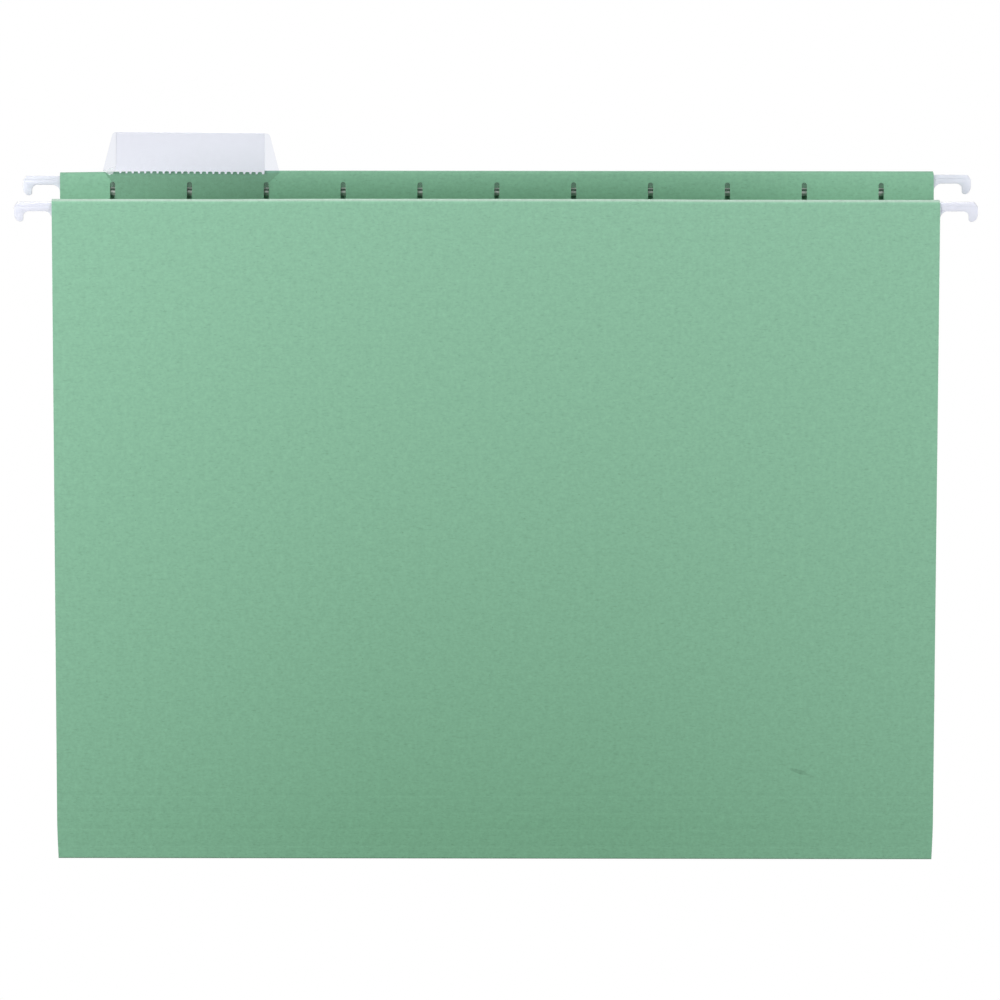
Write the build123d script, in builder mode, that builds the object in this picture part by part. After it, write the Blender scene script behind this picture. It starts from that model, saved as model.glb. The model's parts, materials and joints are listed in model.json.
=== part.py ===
from build123d import *
from math import cos, radians, sin
import os

# A letter-size hanging file folder, standing open in a V as it hangs on two rails.
# +X runs along the rails, -Y is towards the front panel, +Z is up.
# The origin is the middle of the four hook seats, where the rails carry the folder.
# All sizes are in millimetres and angles in degrees.

# Body sheet
body_width = 298.45
sheet_length = 236.5
paper = 0.28
lean = 7.7
bottom_radius = 3.6

# Scored lines across the bottom of each panel, counted from the middle of the sheet
score_pitch = 6.25
score_count = 4
score_width = 0.9
score_depth = 0.1

# Sleeve along the top: the sheet folds over the rod and is glued down below it
sleeve_clearance = 0.2
flap_straight = 18.0
flap_slope = 7.0
flap_glued = 10.0
flap_bend_radius = 8.0
glue_thickness = 0.12
glue_height = 8.0
glue_end_margin = 1.5

# Tab slots punched in each flap
slot_count = 11
slot_margin = 17.975
slot_width = 1.75
slot_height = 12.5
slot_drop = 3.9

# Steel rod
rod_thickness = 0.8
rod_fold_clearance = 0.32
rod_height = 7.4
rod_end_inset = 12.0
rod_groove_width = 0.6
rod_groove_depth = 0.25
rod_groove_rise = 1.45
tongue_step = 0.15
tongue_height = 3.4
tongue_end_wall = 3.0

# Moulded hook tips
hook_reach = 12.7
tip_wall = 0.5
tip_face_step = 0.15
arm_drop = 1.45
arm_height = 3.0
arm_ledge = 1.3
notch_depth = 3.75
beak_width = 3.3
beak_fillet = 1.4
beak_shoulder = 4.5
beak_tip_inset_outer = 0.9
beak_tip_inset_inner = 0.6
tip_chamfer_x = 1.2
tip_chamfer_v = 1.7
root_radius = 2.7

# Clear index tab on the rear flap
tab_slot_from_left = 2
tab_play = 0.3
tab_sheet = 0.2
tab_flap_gap = 0.25
tab_rise = 13.0
tab_top_margin = 0.55
tab_top_radius = 0.7
tab_wing_flare = 4.7
tab_wing_rise = 0.3
tab_neck_drop = 4.2
tab_front_drop = 3.0
foot_height = 3.0
foot_width = 0.8
foot_rise = 0.9
barb_reach = 2.2
barb_thickness = 0.3
barb_flap_gap = 0.3

# Paper insert in the tab
insert_width = 50.8
insert_thickness = 0.2
insert_clearance = 0.1
insert_drop = 1.0
insert_top_gap = 0.4
tooth_pitch = 2.12
tooth_height = 0.7

# Heights measured up each panel from the crease axis, and depths measured outwards from it
bottom_arc = radians(90 - lean)
crest = sheet_length - bottom_radius * bottom_arc
tongue_thickness = rod_thickness - 2 * tongue_step
tip_thickness = tongue_thickness + 2 * tip_wall
sleeve_gap = tip_thickness + 2 * sleeve_clearance
fold_radius = (sleeve_gap + paper) / 2
fold_centre = crest - paper / 2 - fold_radius
sleeve_middle = bottom_radius - fold_radius
flap_depth = bottom_radius - 2 * fold_radius
glued_depth = bottom_radius - paper - glue_thickness
flap_bend = crest - flap_straight
glue_top = flap_bend - flap_slope
flap_end = glue_top - flap_glued
arm_top = crest - arm_drop
notch_top = arm_top - arm_height
hook_bottom = notch_top - notch_depth
tongue_middle = (arm_top + hook_bottom) / 2
tongue_length = rod_end_inset - tongue_end_wall
rod_top = crest - paper - rod_fold_clearance
rod_bottom = rod_top - rod_height
slot_top = crest - slot_drop
slot_bottom = slot_top - slot_height
slot_pitch = (body_width - 2 * slot_margin) / (slot_count - 1)

# Planes of the rear half: its cross-section, and its face seen from inside the folder
side = sin(radians(lean))
up = cos(radians(lean))
crease_z = -(notch_top * up - sleeve_middle * side)
crease = (0, 0, crease_z)
section = Plane(origin=crease, x_dir=(0, up, -side), z_dir=(1, 0, 0))
face = Plane(origin=crease, x_dir=(1, 0, 0), z_dir=(0, -up, side))


def at_depth(depth):
    """The rear half's face plane, moved to a depth outwards from the crease axis."""
    return face.offset(-depth)


def slot_place(number):
    """The distance along the folder of a slot, counted from the left."""
    return (number - (slot_count + 1) / 2) * slot_pitch


def mirrored(solid):
    """The front half's copy of a piece of the rear half."""
    with BuildPart() as copy:
        mirror(solid, about=Plane.XZ)
    return copy.part


def save(solid, name):
    """Names a finished piece and writes its file."""
    solid.label = name
    export_step(solid, f"parts/{name}.step")


os.makedirs("parts", exist_ok=True)

# Rear panel: one sheet that runs up, folds over the rod and comes down as a glued flap
with BuildPart() as rear_panel:
    with BuildSketch(section):
        with BuildLine():
            Line((bottom_radius, 0), (bottom_radius, fold_centre))
            ThreePointArc(
                (bottom_radius, fold_centre),
                (sleeve_middle, fold_centre + fold_radius),
                (flap_depth, fold_centre),
            )
            FilletPolyline(
                (flap_depth, fold_centre),
                (flap_depth, flap_bend),
                (glued_depth, glue_top),
                (glued_depth, flap_end),
                radius=flap_bend_radius,
            )
        trace(line_width=paper)
    extrude(amount=body_width / 2, both=True)
    with BuildSketch(section):
        first_score = score_pitch - bottom_radius * bottom_arc
        for number in range(score_count):
            with Locations((bottom_radius + paper / 2, first_score + number * score_pitch)):
                Rectangle(2 * score_depth, score_width)
    extrude(amount=body_width / 2, both=True, mode=Mode.SUBTRACT)
    with BuildSketch(at_depth(flap_depth)):
        for number in range(1, slot_count + 1):
            with Locations((slot_place(number), (slot_top + slot_bottom) / 2)):
                SlotOverall(slot_height, slot_width, rotation=90)
    extrude(amount=paper, both=True, mode=Mode.SUBTRACT)

# Bottom crease: the scored strip that curves round from one panel to the other
with BuildPart() as bottom_crease:
    with BuildSketch(Plane(origin=crease, x_dir=(0, 1, 0), z_dir=(1, 0, 0))):
        with BuildLine():
            CenterArc((0, 0), bottom_radius, -lean, -(180 - 2 * lean))
        trace(line_width=paper)
    extrude(amount=body_width / 2, both=True)

# Glue line that holds the flap down on the panel
with BuildPart() as rear_glue_line:
    with BuildSketch(section):
        with Locations((bottom_radius - (paper + glue_thickness) / 2, flap_end + flap_glued / 2)):
            Rectangle(glue_thickness, glue_height)
    extrude(amount=body_width / 2 - glue_end_margin, both=True)

# Steel rod: a rounded strip with a rolled groove, and a tongue at each end for the hook tip
rod_half = body_width / 2 - rod_end_inset
with BuildPart() as rear_rod:
    with BuildSketch(section):
        with Locations((sleeve_middle, (rod_top + rod_bottom) / 2)):
            SlotOverall(rod_height, rod_thickness, rotation=90)
        with Locations((sleeve_middle - rod_thickness / 2, rod_bottom + rod_groove_rise)):
            Rectangle(2 * rod_groove_depth, rod_groove_width, mode=Mode.SUBTRACT)
    extrude(amount=rod_half, both=True)
    with BuildSketch(at_depth(sleeve_middle)):
        for end in (-1, 1):
            with Locations((end * rod_half, tongue_middle)):
                Rectangle(2 * tongue_length, tongue_height)
    extrude(amount=tongue_thickness / 2, both=True)

# Hook tips: a plate with a notch for the rail, and a socket that grips the rod's tongue
edge_half = body_width / 2
tip_half = edge_half + hook_reach
beak_inner = tip_half - beak_width
with BuildPart() as rear_right_hook:
    with BuildSketch(at_depth(sleeve_middle)) as hook_outline:
        with BuildLine():
            Polyline(
                (rod_half, hook_bottom),
                (rod_half, arm_top),
                (tip_half - tip_chamfer_x, arm_top),
                (tip_half, arm_top - tip_chamfer_v),
                (tip_half, arm_top - beak_shoulder),
                (tip_half - beak_tip_inset_outer, hook_bottom),
                (beak_inner + beak_tip_inset_inner, hook_bottom),
                (beak_inner, hook_bottom + beak_tip_inset_inner),
                (beak_inner, notch_top - beak_fillet),
            )
            RadiusArc(
                (beak_inner, notch_top - beak_fillet),
                (beak_inner - beak_fillet, notch_top),
                -beak_fillet,
            )
            Line((beak_inner - beak_fillet, notch_top), (edge_half + root_radius, notch_top))
            RadiusArc(
                (edge_half + root_radius, notch_top),
                (edge_half, notch_top - root_radius),
                -root_radius,
            )
            Polyline(
                (edge_half, notch_top - root_radius),
                (edge_half, hook_bottom),
                (rod_half, hook_bottom),
            )
        make_face()
    extrude(amount=tip_thickness / 2 - tip_face_step, both=True)
    with BuildSketch(at_depth(sleeve_middle)):
        add(hook_outline.sketch_local)
        with Locations((0, arm_top - arm_ledge)):
            Rectangle(
                2 * tip_half, sheet_length, align=(Align.CENTER, Align.MAX), mode=Mode.SUBTRACT
            )
    extrude(amount=tip_thickness / 2, both=True)
    with BuildSketch(at_depth(sleeve_middle)):
        with Locations((rod_half, tongue_middle)):
            Rectangle(2 * tongue_length, tongue_height)
    extrude(amount=tongue_thickness / 2, both=True, mode=Mode.SUBTRACT)

with BuildPart() as rear_left_hook:
    mirror(rear_right_hook.part, about=Plane.YZ)

# Index tab: a clear sheet folded over at the top, with a skirt whose feet pass through two slots
tab_x = slot_place(tab_slot_from_left) + tab_play
tab_channel = insert_thickness + 2 * insert_clearance
tab_front_half = insert_width / 2
tab_top_half = tab_front_half + tab_top_margin
tab_wing_half = tab_front_half + tab_wing_flare
flap_face = flap_depth - paper / 2
back_leaf = flap_face - tab_flap_gap - tab_sheet / 2
front_leaf = back_leaf - tab_sheet - tab_channel
tab_top = crest + tab_rise
tab_fold = (tab_channel + tab_sheet) / 2
tab_straight_top = tab_top - tab_sheet / 2 - tab_fold
foot_bottom = slot_bottom + foot_rise
foot_top = foot_bottom + foot_height
neck_half = slot_pitch + foot_width / 2
with BuildPart() as tab:
    with BuildSketch(at_depth(back_leaf)) as leaf_outline:
        with BuildLine():
            Polyline(
                (tab_x - tab_top_half, tab_straight_top),
                (tab_x - tab_wing_half, crest + tab_wing_rise),
                (tab_x - neck_half, crest - tab_neck_drop),
                (tab_x - neck_half, foot_bottom),
                (tab_x + neck_half, foot_bottom),
                (tab_x + neck_half, crest - tab_neck_drop),
                (tab_x + tab_wing_half, crest + tab_wing_rise),
                (tab_x + tab_top_half, tab_straight_top),
                close=True,
            )
        make_face()
        fillet(leaf_outline.vertices().group_by(Axis.Y)[-1], tab_top_radius)
    extrude(amount=tab_sheet / 2, both=True)
    with BuildSketch(section.offset(tab_x)):
        with BuildLine():
            Line((front_leaf, crest - tab_front_drop), (front_leaf, tab_straight_top))
            ThreePointArc(
                (front_leaf, tab_straight_top),
                ((front_leaf + back_leaf) / 2, tab_straight_top + tab_fold),
                (back_leaf, tab_straight_top),
            )
        trace(line_width=tab_sheet)
    extrude(amount=tab_front_half, both=True)
    for end in (-1, 1):
        foot_x = tab_x + end * slot_pitch
        barb_depth = flap_depth + paper / 2 + barb_flap_gap
        with BuildSketch(at_depth(back_leaf)):
            with Locations((foot_x, (foot_top + foot_bottom) / 2)):
                Rectangle(foot_width, foot_height)
        extrude(amount=-(barb_depth + barb_thickness - back_leaf))
        with BuildSketch(at_depth(barb_depth)):
            with Locations((foot_x + end * barb_reach / 2, (foot_top + foot_bottom) / 2)):
                Rectangle(barb_reach, foot_height)
        extrude(amount=-barb_thickness)

# Paper insert, loose in the tab's channel, with a perforated lower edge
with BuildPart() as tab_insert:
    insert_top = tab_straight_top + tab_fold - tab_sheet / 2 - insert_top_gap
    insert_bottom = crest - insert_drop
    with BuildSketch(at_depth((back_leaf + front_leaf) / 2)):
        with Locations((tab_x, (insert_top + insert_bottom) / 2)):
            Rectangle(insert_width, insert_top - insert_bottom)
        tooth_count = round(insert_width / tooth_pitch)
        tooth_step = insert_width / tooth_count
        for number in range(tooth_count):
            with Locations((tab_x - insert_width / 2 + (number + 0.5) * tooth_step, insert_bottom)):
                Polygon(
                    (-tooth_step / 2, 0),
                    (tooth_step / 2, 0),
                    (0, tooth_height),
                    align=None,
                    mode=Mode.SUBTRACT,
                )
    extrude(amount=insert_thickness / 2, both=True)

save(rear_panel.part, "rear_panel")
save(mirrored(rear_panel.part), "front_panel")
save(bottom_crease.part, "bottom_crease")
save(rear_glue_line.part, "rear_glue_line")
save(mirrored(rear_glue_line.part), "front_glue_line")
save(rear_rod.part, "rear_rod")
save(mirrored(rear_rod.part), "front_rod")
save(rear_right_hook.part, "rear_right_hook")
save(rear_left_hook.part, "rear_left_hook")
save(mirrored(rear_right_hook.part), "front_right_hook")
save(mirrored(rear_left_hook.part), "front_left_hook")
save(tab.part, "tab")
save(tab_insert.part, "tab_insert")

print("crease axis at z", round(crease_z, 3), "crest at", round(crest, 3), "up the panel")
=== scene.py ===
"""Dresses a letter-size hanging file folder: card body, rods, hook tips, index tab and insert."""

import json
import logging
import math
from dataclasses import dataclass, field
from enum import Enum, IntEnum
from typing import Callable

import bmesh
import bpy
from mathutils import Matrix, Vector


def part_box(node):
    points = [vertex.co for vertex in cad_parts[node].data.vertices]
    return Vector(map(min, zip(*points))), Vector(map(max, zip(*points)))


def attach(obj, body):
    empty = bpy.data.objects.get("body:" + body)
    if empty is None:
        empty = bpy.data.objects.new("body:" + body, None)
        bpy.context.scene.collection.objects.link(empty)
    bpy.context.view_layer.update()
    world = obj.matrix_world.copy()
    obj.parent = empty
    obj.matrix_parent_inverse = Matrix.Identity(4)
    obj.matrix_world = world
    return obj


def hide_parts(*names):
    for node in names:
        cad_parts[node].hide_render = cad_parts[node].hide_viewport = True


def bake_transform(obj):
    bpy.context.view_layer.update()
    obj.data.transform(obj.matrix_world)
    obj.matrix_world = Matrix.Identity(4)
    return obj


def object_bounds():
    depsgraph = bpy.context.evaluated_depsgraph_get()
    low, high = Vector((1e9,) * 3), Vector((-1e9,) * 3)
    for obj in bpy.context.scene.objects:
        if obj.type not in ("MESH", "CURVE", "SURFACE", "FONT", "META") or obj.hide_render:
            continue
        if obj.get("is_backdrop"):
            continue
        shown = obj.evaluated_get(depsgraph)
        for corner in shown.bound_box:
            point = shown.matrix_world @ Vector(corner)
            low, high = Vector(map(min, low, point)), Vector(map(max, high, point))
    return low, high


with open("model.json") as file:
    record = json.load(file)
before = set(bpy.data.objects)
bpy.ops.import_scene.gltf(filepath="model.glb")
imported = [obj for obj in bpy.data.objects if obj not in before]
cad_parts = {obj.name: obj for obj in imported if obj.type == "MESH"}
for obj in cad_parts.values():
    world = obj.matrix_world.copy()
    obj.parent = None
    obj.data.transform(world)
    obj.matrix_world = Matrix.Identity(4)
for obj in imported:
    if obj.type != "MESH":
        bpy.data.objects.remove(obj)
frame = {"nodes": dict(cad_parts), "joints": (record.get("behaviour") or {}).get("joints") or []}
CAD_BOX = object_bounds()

LOG = logging.getLogger("hanging_folder")
MM = 0.001
SHEET_UV = "sheet_uv"
SHARP_TURN = 35.0
ROUNDING_FACES = 2
CORNER_CHORDS = 6
WELD_DISTANCE = 1e-6
WHITE = (1, 1, 1, 1)

Pair = tuple[float, float]
Triple = tuple[float, float, float]
Place = Callable[[float, float, float], Vector]
Material = bpy.types.Material
Piece = bpy.types.Object
Socket = bpy.types.NodeSocket


class Half(Enum):
    """A half of the folder, with the side of the pocket that it stands on."""

    REAR = 1
    FRONT = -1

    @property
    def label(self) -> str:
        """The half's word in the names of its nodes."""
        return self.name.lower()

    @property
    def body(self) -> str:
        """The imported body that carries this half."""
        return f"{self.label}_half"


class End(Enum):
    """An end of a rod."""

    RIGHT = 1
    LEFT = -1


class Film(IntEnum):
    """A kind of film in the index tab, by its place among the tab's materials."""

    FRONT = 0
    BACK = 1
    EDGE = 2
    SKIRT = 3
    # A pale film on the front leaf's bent corner: a painted highlight.
    WHITENED = 4


def linear(colour: str) -> tuple[float, float, float, float]:
    """Turns an sRGB hex colour to linear light.

    Args:
        colour: six hex digits.

    Returns:
        The linear red, green, blue and an alpha of one.
    """
    shares = []
    for start in (0, 2, 4):
        value = int(colour[start : start + 2], 16) / 255
        low = value <= 0.04045
        shares.append(value / 12.92 if low else ((value + 0.055) / 1.055) ** 2.4)
    return (*shares, 1.0)


def add_node(tree: bpy.types.NodeTree, kind: str, inputs: dict | None = None, **settings) -> bpy.types.Node:
    """Adds a node to a tree.

    Args:
        tree: the shader or geometry tree.
        kind: the node's type name.
        inputs: values or source sockets, by input name or number. A list links several sources.
        settings: the node's own properties.

    Returns:
        The new node.
    """
    node = tree.nodes.new(kind)
    for name, value in settings.items():
        setattr(node, name, value)
    for key, value in (inputs or {}).items():
        for source in value if isinstance(value, list) else [value]:
            if isinstance(source, Socket):
                tree.links.new(source, node.inputs[key])
            else:
                node.inputs[key].default_value = source
    return node


class Look:
    """A material in the making: one principled shader and the nodes that feed it."""

    def __init__(self, name: str, **values) -> None:
        """Makes the material with its shader.

        Args:
            name: the material's name.
            values: the shader's inputs, with underscores for spaces.
        """
        self.material = bpy.data.materials.new(name)
        self.material.use_nodes = True
        self.tree = self.material.node_tree
        self.tree.nodes.clear()
        inputs = {key.replace("_", " "): value for key, value in values.items()}
        self.shader = add_node(self.tree, "ShaderNodeBsdfPrincipled", inputs)
        surface = {"Surface": self.shader.outputs["BSDF"]}
        self.output = add_node(self.tree, "ShaderNodeOutputMaterial", surface)

    def add(self, kind: str, inputs: dict | None = None, output: int | str = 0, **settings) -> Socket:
        """Adds a shader node and gives one of its outputs."""
        return add_node(self.tree, f"ShaderNode{kind}", inputs, **settings).outputs[output]

    def place(self) -> Socket:
        """Adds the object's own coordinates in metres."""
        return self.add("TexCoord", output="Object")

    def link(self, source: Socket, name: str) -> None:
        """Feeds one of the shader's inputs."""
        self.tree.links.new(source, self.shader.inputs[name])

    def noise(self, place: Socket, size: float, detail: float, flat: bool = False, **more: float) -> Socket:
        """Adds a noise pattern.

        Args:
            place: the coordinates.
            size: the size of its grains in those coordinates.
            detail: how many finer layers it has.
            flat: whether it lies in a sheet's two directions only.
            more: other inputs of the node.

        Returns:
            The pattern, from zero to one.
        """
        inputs = {"Vector": place, "Scale": 1 / size, "Detail": detail, **more}
        return self.add("TexNoise", inputs, noise_dimensions="2D" if flat else "3D")

    def spread(self, value: Socket, ends: Pair, start: Pair = (0.0, 1.0), kind: str = "LINEAR") -> Socket:
        """Maps a value from one range to another, and holds it there.

        Args:
            value: the value.
            ends: the range that it gets.
            start: the range that it has.
            kind: how it goes from end to end.

        Returns:
            The new value.
        """
        inputs = {"Value": value, "From Min": start[0], "From Max": start[1]}
        inputs |= {"To Min": ends[0], "To Max": ends[1]}
        return self.add("MapRange", inputs, interpolation_type=kind)

    def math(self, operation: str, *values: float | Socket) -> Socket:
        """Adds an operation on numbers or sockets."""
        return self.add("Math", dict(enumerate(values)), operation=operation)

    def mix(self, share: Socket, first: object, second: object) -> Socket:
        """Mixes two colours."""
        return self.add("Mix", {0: share, 6: first, 7: second}, output=2, data_type="RGBA")

    def paint(self, colour: Triple | Socket, tone: Socket) -> None:
        """Gives the shader a colour that is made lighter or darker by a tone."""
        self.link(self.add("VectorMath", {0: colour, "Scale": tone}, operation="SCALE"), "Base Color")

    def bump(self, height: Socket, strength: float, depth: float) -> None:
        """Gives the shader a bump of a depth in metres, of which a share shows."""
        inputs = {"Height": height, "Strength": strength, "Distance": depth}
        self.link(self.add("Bump", inputs), "Normal")


@dataclass(frozen=True)
class DyedCard:
    """Uncoated card stock dyed in the pulp: matt, mottled by its fibres, with a soft tooth.

    The eye sees an even green with fine lighter and darker grains, short dark fibres that lie
    mostly along the sheet, a few specks of bark and one splinter. Light and shade are painted into
    its colour: a painted sheen makes it paler towards the top folds and along both sides, painted
    shade darkens each flap below its fold, and a band along each crest is partly real whitening
    where the fold has stretched the card and partly a painted highlight.
    """

    fold_run: float
    half_width: float
    colour: str = "79AE8D"
    # The pale colour is mixed in by the painted sheen towards the top folds and the painted side light.
    pale: str = "8DBFA2"
    # The crest band's colour: partly real whitening where the fold stretched the card, partly a painted
    # highlight.
    worn: str = "DCEBE2"
    roughness: float = 0.82
    specular: float = 0.3
    fade_start: float = 15.0 * MM
    fade_back: float = 12.0 * MM
    fade_curve: float = 0.7
    edge_start: float = 40.0 * MM
    edge_fade: float = 0.35
    wear_reach: float = 0.9 * MM
    wear_drop: float = 0.45 * MM
    wear_share: float = 0.6
    detail: float = 2.0
    grain: float = 1.2 * MM
    grain_tone: float = 0.2
    cloud: float = 3.0 * MM
    cloud_tone: float = 0.14
    contrast: float = 0.6
    fibre_length: float = 2.0 * MM
    fibre_width: float = 0.45 * MM
    fibre_angles: Triple = (-16, 20, 68)
    fibre_offset: Pair = (3.7, 1.9)
    fibre_bend: float = 0.4
    fibre_cut: Pair = (0.66, 0.8)
    fibre_tone: float = -0.1
    speck_spacing: float = 15.0 * MM
    speck_radius: float = 0.22 * MM
    speck_tone: float = -0.3
    clean_share: float = 0.8
    splinter_place: Pair = (103.3 * MM, -33.9 * MM)
    splinter_size: Pair = (5.0 * MM, 0.75 * MM)
    splinter_angle: float = 20.0
    splinter_cut: Pair = (1.5, 1.15)
    splinter_tone: float = -0.17
    tooth: float = 0.5 * MM
    tooth_bump: Pair = (0.25, 0.03 * MM)

    def grains(self, look: Look, sheet: Socket) -> Socket:
        """Adds up the grain, the clouds and the fibres.

        Args:
            look: the material in the making.
            sheet: the sheet's own coordinates in metres.

        Returns:
            The share of the dye's colour at each place, near one.
        """
        tone = 1.0
        for size, share in ((self.grain, self.grain_tone), (self.cloud, self.cloud_tone)):
            noise = look.noise(sheet, size, self.detail, flat=True, Roughness=self.contrast)
            tone = look.math("ADD", tone, look.spread(noise, (-share / 2, share / 2)))
        for number, angle in enumerate(self.fibre_angles):
            along = {
                "Vector": sheet,
                "Location": (*(number * step for step in self.fibre_offset), 0),
                "Rotation": (0, 0, math.radians(angle)),
                "Scale": (1 / self.fibre_length, 1 / self.fibre_width, 1),
            }
            strands = look.noise(look.add("Mapping", along), 1.0, 1.0, flat=True, Distortion=self.fibre_bend)
            tone = look.math("ADD", tone, look.spread(strands, (0.0, self.fibre_tone), self.fibre_cut))
        return tone

    def marks(self, look: Look, sheet: Socket, tone: Socket) -> Socket:
        """Adds the specks and the splinter.

        Args:
            look: the material in the making.
            sheet: the sheet's own coordinates in metres.
            tone: the share of the dye's colour so far.

        Returns:
            The share with the marks in it.
        """
        inputs = {"Vector": sheet, "Scale": 1 / self.speck_spacing}
        cells = add_node(look.tree, "ShaderNodeTexVoronoi", inputs, voronoi_dimensions="2D").outputs
        radius = self.speck_radius / self.speck_spacing
        speck = look.spread(cells["Distance"], (0.0, self.speck_tone), (radius, radius / 2))
        lot = look.add("SeparateColor", {"Color": cells["Color"]})
        chosen = look.math("GREATER_THAN", lot, self.clean_share)
        tone = look.math("MULTIPLY_ADD", speck, chosen, tone)
        lengthwise = {
            "Vector": sheet,
            "Location": (*self.splinter_place, 0),
            "Rotation": (0, 0, math.radians(self.splinter_angle)),
            "Scale": (*self.splinter_size, 1),
        }
        mapped = look.add("Mapping", lengthwise, vector_type="TEXTURE")
        away = look.add("VectorMath", {0: mapped}, output="Value", operation="LENGTH")
        frayed = look.math("ADD", away, look.noise(sheet, self.cloud, self.detail, flat=True))
        return look.math("ADD", tone, look.spread(frayed, (0.0, self.splinter_tone), self.splinter_cut))

    def dye(self, look: Look, sheet: Socket) -> Socket:
        """Mixes the dye's colour with painted light: a sheen towards the top folds and the sides, shade on
        the flaps below the folds, and a crest band that is partly real whitening and partly a highlight.

        Args:
            look: the material in the making.
            sheet: the sheet's own coordinates in metres.

        Returns:
            The colour at each place.
        """
        ways = add_node(look.tree, "ShaderNodeSeparateXYZ", {"Vector": sheet}).outputs
        run, side = look.math("ABSOLUTE", ways["Y"]), look.math("ABSOLUTE", ways["X"])
        # Painted sheen: paler towards the top folds, where the light is brightest.
        rise = look.spread(run, (0.0, 1.0), (self.fade_start, self.fold_run))
        # Painted shade: each flap darkens again below its fold, down into the pocket.
        pocket_shade = look.spread(run, (0.0, 1.0), (self.fold_run, self.fold_run + self.fade_back))
        painted_light = look.math("SUBTRACT", look.math("POWER", rise, self.fade_curve), pocket_shade)
        # Painted side light: paler along both sides of the sheet.
        edge = look.spread(side, (0.0, self.edge_fade), (self.edge_start, self.half_width))
        painted_light = look.math("MULTIPLY_ADD", edge, look.math("SUBTRACT", 1.0, painted_light), painted_light)
        dye = look.mix(painted_light, linear(self.colour), linear(self.pale))
        # Crest band: partly real whitening where the fold stretched the card, partly a painted highlight.
        away = look.math("ABSOLUTE", look.math("SUBTRACT", run, self.fold_run - self.wear_drop))
        wear_highlight = look.spread(away, (0.0, self.wear_share), (self.wear_reach, 0.0), "SMOOTHSTEP")
        return look.mix(wear_highlight, dye, linear(self.worn))

    def material(self) -> Material:
        """Makes the card's material.

        Returns:
            The material, which follows the sheet's own coordinates.
        """
        look = Look("dyed_card_stock", Roughness=self.roughness, Specular_IOR_Level=self.specular)
        sheet = look.add("UVMap", uv_map=SHEET_UV)
        look.paint(self.dye(look, sheet), self.marks(look, sheet, self.grains(look, sheet)))
        look.bump(look.noise(sheet, self.tooth, self.detail, flat=True), *self.tooth_bump)
        return look.material


@dataclass(frozen=True)
class PlainFinish:
    """A finish of one colour, with a fine pattern that varies its tone and its height."""

    name: str
    colour: str
    roughness: float
    grain: float
    detail: float
    tones: Pair
    bump: Pair
    index: float = 1.5

    def shading(self) -> dict:
        """The shader's other inputs."""
        return {}

    def pattern(self, look: Look) -> Socket:
        """Adds the pattern."""
        return look.noise(look.place(), self.grain, self.detail)

    def tone(self, look: Look, pattern: Socket) -> Socket:
        """Turns the pattern to a share of the colour."""
        return look.spread(pattern, self.tones)

    def relief(self, look: Look, pattern: Socket) -> Socket:
        """Gives the height of the bump, which is the pattern's."""
        return pattern

    def material(self) -> Material:
        """Makes the material.

        Returns:
            The material with its tone and bump.
        """
        look = Look(self.name, Roughness=self.roughness, IOR=self.index, **self.shading())
        pattern = self.pattern(look)
        look.paint(linear(self.colour)[:3], self.tone(look, pattern))
        if self.bump[0]:
            look.bump(self.relief(look, pattern), *self.bump)
        return look.material


@dataclass(frozen=True)
class RolledSteel(PlainFinish):
    """Bright cold-rolled steel strip: grey metal with fine lines along the rolling direction."""

    name: str = "rolled_steel"
    colour: str = "C9CDCB"
    roughness: float = 0.2
    grain: float = 0.15 * MM
    detail: float = 3.0
    tones: Pair = (0.86, 1.1)
    bump: Pair = (0.2, 0.01 * MM)
    line_length: float = 18.0 * MM
    gloss_spread: Pair = (-0.08, 0.1)

    def shading(self) -> dict:
        """Makes it a metal."""
        return {"Metallic": 1.0}

    def pattern(self, look: Look) -> Socket:
        """Adds the rolled lines, which also vary the gloss.

        Args:
            look: the material in the making.

        Returns:
            The lines.
        """
        scale = (1 / self.line_length, 1 / self.grain, 1 / self.grain)
        drawn = look.add("Mapping", {"Vector": look.place(), "Scale": scale})
        lines = look.noise(drawn, 1.0, self.detail)
        rough = tuple(self.roughness + change for change in self.gloss_spread)
        look.link(look.spread(lines, rough), "Roughness")
        return lines


@dataclass(frozen=True)
class MouldedPolypropylene(PlainFinish):
    """Natural white polypropylene, injection moulded: milky, slightly see-through at thin edges."""

    name: str = "moulded_polypropylene"
    colour: str = "E7E9F4"
    roughness: float = 0.4
    grain: float = 4.0 * MM
    detail: float = 2.0
    tones: Pair = (0.95, 1.03)
    bump: Pair = (0.12, 0.02 * MM)
    index: float = 1.49
    milk: float = 0.35
    milk_depth: float = 0.8 * MM
    spark: float = 0.25 * MM

    def shading(self) -> dict:
        """Lets light wander under the surface, evenly for all colours."""
        spread = {"Subsurface_Radius": (1.0, 1.0, 1.0), "Subsurface_Scale": self.milk_depth}
        return {"Subsurface_Weight": self.milk, **spread}

    def relief(self, look: Look, pattern: Socket) -> Socket:
        """Adds the fine sparked texture of the mould."""
        return look.noise(look.place(), self.spark, 1.0)


@dataclass(frozen=True)
class VinylEdge(PlainFinish):
    """The cut edge of clear PVC film, which gathers light and looks pale and frosted."""

    name: str = "vinyl_cut_edge"
    colour: str = "F2F4FA"
    roughness: float = 0.5
    grain: float = 0.4 * MM
    detail: float = 1.0
    tones: Pair = (0.9, 1.05)
    bump: Pair = (0.0, 0.0)
    index: float = 1.53
    cover: float = 0.7

    def shading(self) -> dict:
        """Lets some of what lies behind show through."""
        return {"Alpha": self.cover}


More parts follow.
